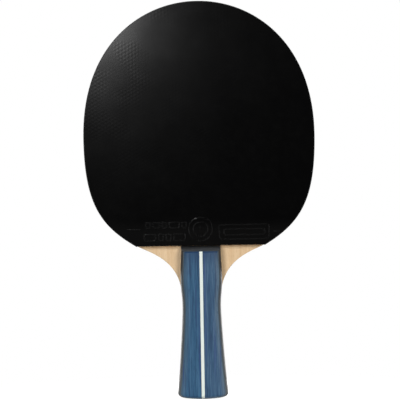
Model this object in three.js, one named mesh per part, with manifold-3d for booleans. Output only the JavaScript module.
// A table tennis paddle: a five-ply wooden blade with a rubber on each face and a flared handle.
// Millimetres. +Z runs up the paddle, +X to the right and -Y out of the front face.
// The origin is the middle of the grip: half way up the handle, in the middle ply.

import * as THREE from 'three';
import { mergeVertices } from 'three/addons/utils/BufferGeometryUtils.js';
import Module from 'manifold-3d';

const wasm = await Module();
wasm.setup();

// ---- Overall sizes ----
const PADDLE_LENGTH = 260; // from the butt to the crown, over the edge tape
const HEAD_WIDTH = 151.3; // over the edge tape
const HANDLE_LENGTH = 100; // from the butt to the foot of the rubbers

// ---- Head outline, on the wood ----
// Each fullness says how far a curve keeps its first direction, as a share of the way it has to go.
const WIDEST_HEIGHT = 71.6; // of the widest line above the foot of the rubbers
const CROWN_FULLNESS = 0.488; // level at the crown
const SHOULDER_FULLNESS = 0.683; // upright above the widest line
const FLANK_FULLNESS = 0.607; // upright below it
const HEEL_HALF_WIDTH = 41.5; // where the straight foot of the rubbers meets the outline
const HEEL_ANGLE = 30.6; // degrees above level of the outline there
const HEEL_FULLNESS = 0.69;

// ---- Wings, where the blade narrows into the handle ----
const WING_DEPTH = 34.3; // from the foot of the rubbers to where the wings meet the grip
const WING_HEEL_FULLNESS = 0.23; // along the heel's direction
const WING_GRIP_FULLNESS = 0.746; // along the grip

// ---- Grip outline: half widths and their heights above the butt ----
const SHOULDER_HALF_WIDTH = 12.85; // at the top of the handle
const SWELL_HALF_WIDTH = 13.6;
const SWELL_HEIGHT = 78.7;
const WAIST_HALF_WIDTH = 12.55;
const WAIST_HEIGHT = 60.2;
const FLARE_HALF_WIDTH = 16.75; // at the butt
const FLARE_ANGLE = 6.3; // degrees that the sides lean out at the butt
const BUTT_CROWN = 1.7; // how far the butt bulges down in the middle
const BUTT_ROUND = 2.6; // radius round the butt's edges

// ---- Blade, from the middle outwards ----
const GLUE_LINE = 0.05;
const CORE_THICKNESS = 3.1;
const INNER_PLY_THICKNESS = 0.8;
const OUTER_PLY_THICKNESS = 0.55;

// ---- Rubbers and edge tape ----
const SPONGE_THICKNESS = 1.9;
const TOPSHEET_THICKNESS = 1.8; // its sheet and its pimples together
const TAPE_THICKNESS = 0.5;
const TAPE_LAP = 1; // how far it laps over the edge of each sponge

// ---- Handle scales, glued to each face of the blade ----
const SCALE_DEPTH = 8.5; // all three layers
const VENEER_THICKNESS = 1.45;
const SLATE_THICKNESS = 0.8;
const SIDE_ROUND = 6; // radius along the handle's long edges
const TOP_SLOPE = 62; // degrees of the sloped top end
const TOP_GAP = 0.1; // between that end and the rubber
const STRIPE_WIDTH = 2;

// ---- Fineness of the curves ----
const HEAD_STEPS = 36; // chords in each of the two curves of the head's half outline
const WING_STEPS = 24;
const GRIP_STEPS = 16; // chords in each of the three curves of the grip's side
const SCALE_STEPS = 20; // along a handle scale
const FLAT_STEPS = 6; // across its flat face
const ROUND_STEPS = 9; // round an edge

// ---- Worked out from the sizes above ----
const BUTT_Z = -HANDLE_LENGTH / 2;
const FOOT_Z = BUTT_Z + HANDLE_LENGTH; // foot of the rubbers
const WAIST_Z = BUTT_Z + WAIST_HEIGHT;
const SWELL_Z = BUTT_Z + SWELL_HEIGHT;
const SCALE_TOP_Z = FOOT_Z - TOP_GAP;
const TAPE_OUTSIDE = GLUE_LINE + TAPE_THICKNESS; // from the wood to the outside of the tape
const CROWN_Z = BUTT_Z + PADDLE_LENGTH - TAPE_OUTSIDE;
const WIDEST_Z = FOOT_Z + WIDEST_HEIGHT;
const HEAD_HALF_WIDTH = HEAD_WIDTH / 2 - TAPE_OUTSIDE;

// Depths are measured out of the front face from the middle of the core ply.
const INNER_PLY_DEPTH = CORE_THICKNESS / 2 + GLUE_LINE;
const OUTER_PLY_DEPTH = INNER_PLY_DEPTH + INNER_PLY_THICKNESS + GLUE_LINE;
const BLADE_FACE_DEPTH = OUTER_PLY_DEPTH + OUTER_PLY_THICKNESS;
const TAPE_EDGE_DEPTH = BLADE_FACE_DEPTH + TAPE_LAP;
const SPONGE_DEPTH = BLADE_FACE_DEPTH + GLUE_LINE;
const TOPSHEET_DEPTH = SPONGE_DEPTH + SPONGE_THICKNESS + GLUE_LINE;
const SCALE_BACK_DEPTH = BLADE_FACE_DEPTH + GLUE_LINE;
const SCALE_FACE_DEPTH = SCALE_BACK_DEPTH + SCALE_DEPTH;
const VENEER_DEPTH = SCALE_FACE_DEPTH - VENEER_THICKNESS;
const SLATE_DEPTH = VENEER_DEPTH - GLUE_LINE - SLATE_THICKNESS;

// ---- Half outlines, as [x, z] points down the right side ----

const radians = THREE.MathUtils.degToRad;

// The head, from the middle of the crown down to the heel.
function headSide() {
  const heelPull = HEEL_FULLNESS * (HEAD_HALF_WIDTH - HEEL_HALF_WIDTH);
  const side = new THREE.Path();
  side.moveTo(0, CROWN_Z);
  side.bezierCurveTo(
    CROWN_FULLNESS * HEAD_HALF_WIDTH, CROWN_Z,
    HEAD_HALF_WIDTH, WIDEST_Z + SHOULDER_FULLNESS * (CROWN_Z - WIDEST_Z),
    HEAD_HALF_WIDTH, WIDEST_Z,
  );
  side.bezierCurveTo(
    HEAD_HALF_WIDTH, WIDEST_Z - FLANK_FULLNESS * WIDEST_HEIGHT,
    HEEL_HALF_WIDTH + heelPull, FOOT_Z + heelPull * Math.tan(radians(HEEL_ANGLE)),
    HEEL_HALF_WIDTH, FOOT_Z,
  );
  return side.getPoints(HEAD_STEPS);
}

// The grip, from the foot of the rubbers down to the butt.
function gripSide() {
  const swellPull = (SWELL_Z - WAIST_Z) / 2;
  const waistPull = WAIST_HEIGHT / 8;
  const flarePull = WAIST_HEIGHT / 3;
  const side = new THREE.Path();
  side.moveTo(SHOULDER_HALF_WIDTH, FOOT_Z);
  side.bezierCurveTo(
    SHOULDER_HALF_WIDTH, FOOT_Z - swellPull / 2,
    SWELL_HALF_WIDTH, SWELL_Z + swellPull,
    SWELL_HALF_WIDTH, SWELL_Z,
  );
  side.bezierCurveTo(
    SWELL_HALF_WIDTH, SWELL_Z - swellPull,
    WAIST_HALF_WIDTH, WAIST_Z + swellPull,
    WAIST_HALF_WIDTH, WAIST_Z,
  );
  side.bezierCurveTo(
    WAIST_HALF_WIDTH, WAIST_Z - waistPull,
    FLARE_HALF_WIDTH - flarePull * Math.tan(radians(FLARE_ANGLE)), BUTT_Z + flarePull,
    FLARE_HALF_WIDTH, BUTT_Z,
  );
  return side.getPoints(GRIP_STEPS);
}

const HEAD_SIDE = headSide();
const GRIP_SIDE = gripSide();

// How far the butt's rounded edge pulls in at a height.
function buttInset(z) {
  const above = Math.min(z - BUTT_Z, BUTT_ROUND);
  return BUTT_ROUND - Math.sqrt(BUTT_ROUND ** 2 - (BUTT_ROUND - above) ** 2);
}

function gripHalfWidth(z) {
  const below = GRIP_SIDE.findIndex((point) => point.y <= z);
  const low = GRIP_SIDE[Math.max(below, 1)];
  const high = GRIP_SIDE[Math.max(below, 1) - 1];
  const share = (z - low.y) / (high.y - low.y);
  return THREE.MathUtils.lerp(low.x, high.x, share) - buttInset(z);
}

// The butt's bulge: a point away from the middle is lifted, less and less up to the waist.
function lifted(x, z) {
  const lift = BUTT_CROWN * (x / FLARE_HALF_WIDTH) ** 2;
  return z + (lift * Math.max(WAIST_Z - z, 0)) / WAIST_HEIGHT;
}

// Heights round the butt's edge, from the butt up.
function buttHeights() {
  return Array.from({ length: ROUND_STEPS + 1 }, (_, step) => {
    const angle = (step / ROUND_STEPS) * (Math.PI / 2);
    return BUTT_Z + BUTT_ROUND * (1 - Math.cos(angle));
  });
}

// Evenly spaced heights from the butt's round up to a given height.
function gripHeights(top, steps) {
  const bottom = BUTT_Z + BUTT_ROUND;
  return Array.from({ length: steps }, (_, step) => bottom + ((step + 1) / steps) * (top - bottom));
}

// The wood from the heel down the wing, the grip and the butt to its middle.
function tangSide() {
  const wingFootZ = FOOT_Z - WING_DEPTH;
  const wingFootX = gripHalfWidth(wingFootZ);
  const heelPull = WING_HEEL_FULLNESS * (HEEL_HALF_WIDTH - wingFootX);
  const wing = new THREE.CubicBezierCurve(
    new THREE.Vector2(HEEL_HALF_WIDTH, FOOT_Z),
    new THREE.Vector2(HEEL_HALF_WIDTH - heelPull, FOOT_Z - heelPull * Math.tan(radians(HEEL_ANGLE))),
    new THREE.Vector2(wingFootX, wingFootZ + WING_GRIP_FULLNESS * WING_DEPTH),
    new THREE.Vector2(wingFootX, wingFootZ),
  );
  const heights = [...buttHeights(), ...gripHeights(wingFootZ, GRIP_STEPS)].reverse().slice(1);
  const grip = heights.map((z) => new THREE.Vector2(gripHalfWidth(z), lifted(gripHalfWidth(z), z)));
  const cornerX = grip.at(-1).x;
  const butt = Array.from({ length: ROUND_STEPS }, (_, step) => {
    const x = cornerX * (1 - (step + 1) / ROUND_STEPS);
    return new THREE.Vector2(x, lifted(x, BUTT_Z));
  });
  return [...wing.getPoints(WING_STEPS).slice(1), ...grip, ...butt];
}

// The left side of an outline, from bottom to top, without the points on the middle line.
function mirrored(side) {
  const offMiddle = side.filter((point) => point.x !== 0);
  return offMiddle.map((point) => new THREE.Vector2(-point.x, point.y)).reverse();
}

// A line that runs clockwise round the head, moved outwards by a distance.
function movedOut(line, distance) {
  return line.map((point, index) => {
    const before = line[Math.max(index - 1, 0)];
    const after = line[Math.min(index + 1, line.length - 1)];
    const along = after.clone().sub(before).normalize();
    return new THREE.Vector2(point.x - along.y * distance, point.y + along.x * distance);
  });
}

// ---- Solids ----

// A flat plate of one outline. Its back lies at a depth out of the front face.
function plate(outline, depth, thickness) {
  const geometry = new THREE.ExtrudeGeometry(new THREE.Shape(outline), {
    depth: thickness,
    bevelEnabled: false,
  });
  const mesh = new THREE.Mesh(geometry);
  mesh.rotation.x = Math.PI / 2;
  mesh.position.y = -depth;
  return mesh;
}

// One whole handle scale: a long block with its face edges, its butt and its sloped top end shaped.
function scaleForm() {
  const columns = 2 * ROUND_STEPS + FLAT_STEPS;
  const heights = [...buttHeights(), ...gripHeights(SCALE_TOP_Z, SCALE_STEPS)];
  const form = new THREE.BoxGeometry(1, 1, 1, columns, heights.length - 1, 1);
  const corners = form.attributes.position;
  for (let corner = 0; corner < corners.count; corner += 1) {
    const column = Math.round((corners.getX(corner) + 0.5) * columns);
    const height = heights[Math.round((corners.getY(corner) + 0.5) * (heights.length - 1))];
    const inFront = corners.getZ(corner) > 0;
    const [x, depth] = facePoint(column, columns, height);
    const out = inFront ? depth : 0;
    const slope = (out / Math.tan(radians(TOP_SLOPE))) * Math.max(height - SWELL_Z, 0);
    corners.setXYZ(corner, x, -SCALE_BACK_DEPTH - out, lifted(x, height) - slope / (SCALE_TOP_Z - SWELL_Z));
  }
  return form;
}

// A point on a scale's face at a height: its x, and its depth from the scale's back.
function facePoint(column, columns, height) {
  const depth = SCALE_DEPTH - buttInset(height);
  const round = SIDE_ROUND - buttInset(height);
  const flatHalfWidth = gripHalfWidth(height) - round;
  const fromEdge = Math.min(column, columns - column);
  const side = Math.sign(column - columns / 2);
  if (fromEdge >= ROUND_STEPS) {
    const share = (column - ROUND_STEPS) / FLAT_STEPS;
    return [THREE.MathUtils.lerp(-flatHalfWidth, flatHalfWidth, share), depth];
  }
  const angle = (1 - fromEdge / ROUND_STEPS) * (Math.PI / 2);
  return [side * (flatHalfWidth + round * Math.sin(angle)), depth - round * (1 - Math.cos(angle))];
}

// A block that spans the whole handle's height, from one depth out to another and from one x to another.
function slab(innerDepth, outerDepth, left, right) {
  const block = new THREE.BoxGeometry(right - left, outerDepth - innerDepth, 2 * HANDLE_LENGTH);
  block.translate((left + right) / 2, -(innerDepth + outerDepth) / 2, 0);
  return block;
}

function asSolid(geometry) {
  geometry.deleteAttribute('normal');
  geometry.deleteAttribute('uv');
  const closed = mergeVertices(geometry);
  return new wasm.Manifold(new wasm.Mesh({
    numProp: 3,
    vertProperties: new Float32Array(closed.attributes.position.array),
    triVerts: new Uint32Array(closed.index.array),
  }));
}

function asGeometry(solid) {
  const { vertProperties, triVerts } = solid.getMesh();
  const geometry = new THREE.BufferGeometry();
  geometry.setAttribute('position', new THREE.BufferAttribute(new Float32Array(vertProperties), 3));
  geometry.setIndex(new THREE.BufferAttribute(new Uint32Array(triVerts), 1));
  geometry.computeVertexNormals();
  return geometry;
}

// The part of a handle scale that lies inside a slab.
function scaleLayer(innerDepth, outerDepth, left, right) {
  const layer = asSolid(scaleForm()).intersect(asSolid(slab(innerDepth, outerDepth, left, right)));
  return new THREE.Mesh(asGeometry(layer));
}

// The strip round the head's edge, from heel to heel.
function tape() {
  const edge = [...mirrored(HEAD_SIDE), ...HEAD_SIDE];
  const outline = [...movedOut(edge, TAPE_OUTSIDE), ...movedOut(edge, GLUE_LINE).reverse()];
  return plate(outline, -TAPE_EDGE_DEPTH, 2 * TAPE_EDGE_DEPTH);
}

// ---- Finishes ----

const PALE_WOOD = { color: 0xd6ba8a, roughness: 0.55 };
const INNER_WOOD = { color: 0xc29c68, roughness: 0.65 };
const CORE_WOOD = { color: 0xcdaa76, roughness: 0.65 };
const DARK_WOOD = { color: 0x453c34, roughness: 0.5 };
const SLATE_WOOD = { color: 0x56605f, roughness: 0.5 };
const BLUE_WOOD = { color: 0x3e5c78, roughness: 0.45 };
const IVORY_WOOD = { color: 0xe0ddd4, roughness: 0.45 };
const FOAM = { color: 0xe6cf7c, roughness: 0.9 };
const BLACK_RUBBER = { color: 0x0b0b0c, roughness: 0.4 };
const RED_RUBBER = { color: 0xa3161c, roughness: 0.4 };
const BLACK_TAPE = { color: 0x141415, roughness: 0.6 };

// ---- Assembly ----

const paddle = new THREE.Group();

function add(parent, name, mesh, finish) {
  mesh.name = name;
  mesh.material = new THREE.MeshStandardMaterial({ ...finish, metalness: 0 });
  parent.add(mesh);
}

const BLADE_OUTLINE = [...HEAD_SIDE, ...tangSide(), ...mirrored([...HEAD_SIDE, ...tangSide()])];
const RUBBER_OUTLINE = [...HEAD_SIDE, ...mirrored(HEAD_SIDE)];

add(paddle, 'core_ply', plate(BLADE_OUTLINE, -CORE_THICKNESS / 2, CORE_THICKNESS), CORE_WOOD);
add(paddle, 'edge_tape', tape(), BLACK_TAPE);

// Each face is built looking out of -Y; the back one is turned half way round the paddle's length.
// Left and right are as seen by someone who looks at that face.
for (const [face, turn, rubber] of [['front', 0, BLACK_RUBBER], ['back', Math.PI, RED_RUBBER]]) {
  const half = new THREE.Group();
  half.rotation.z = turn;
  paddle.add(half);

  add(half, `${face}_inner_ply`, plate(BLADE_OUTLINE, INNER_PLY_DEPTH, INNER_PLY_THICKNESS), INNER_WOOD);
  add(half, `${face}_outer_ply`, plate(BLADE_OUTLINE, OUTER_PLY_DEPTH, OUTER_PLY_THICKNESS), PALE_WOOD);
  add(half, `${face}_sponge`, plate(RUBBER_OUTLINE, SPONGE_DEPTH, SPONGE_THICKNESS), FOAM);
  add(half, `${face}_topsheet`, plate(RUBBER_OUTLINE, TOPSHEET_DEPTH, TOPSHEET_THICKNESS), rubber);

  // Layers are cut from one scale between two depths and two x; beyond is an x or depth clear of it.
  const beyond = SCALE_FACE_DEPTH + FLARE_HALF_WIDTH;
  const stripeEdge = STRIPE_WIDTH / 2;
  const veneerEdge = stripeEdge + GLUE_LINE;
  const body = scaleLayer(0, SLATE_DEPTH - GLUE_LINE, -beyond, beyond);
  const slate = scaleLayer(SLATE_DEPTH, VENEER_DEPTH - GLUE_LINE, -beyond, beyond);
  add(half, `${face}_handle_scale`, body, DARK_WOOD);
  add(half, `${face}_slate_layer`, slate, SLATE_WOOD);
  add(half, `${face}_left_veneer`, scaleLayer(VENEER_DEPTH, beyond, -beyond, -veneerEdge), BLUE_WOOD);
  add(half, `${face}_right_veneer`, scaleLayer(VENEER_DEPTH, beyond, veneerEdge, beyond), BLUE_WOOD);
  add(half, `${face}_stripe`, scaleLayer(VENEER_DEPTH, beyond, -stripeEdge, stripeEdge), IVORY_WOOD);
}

export default paddle;
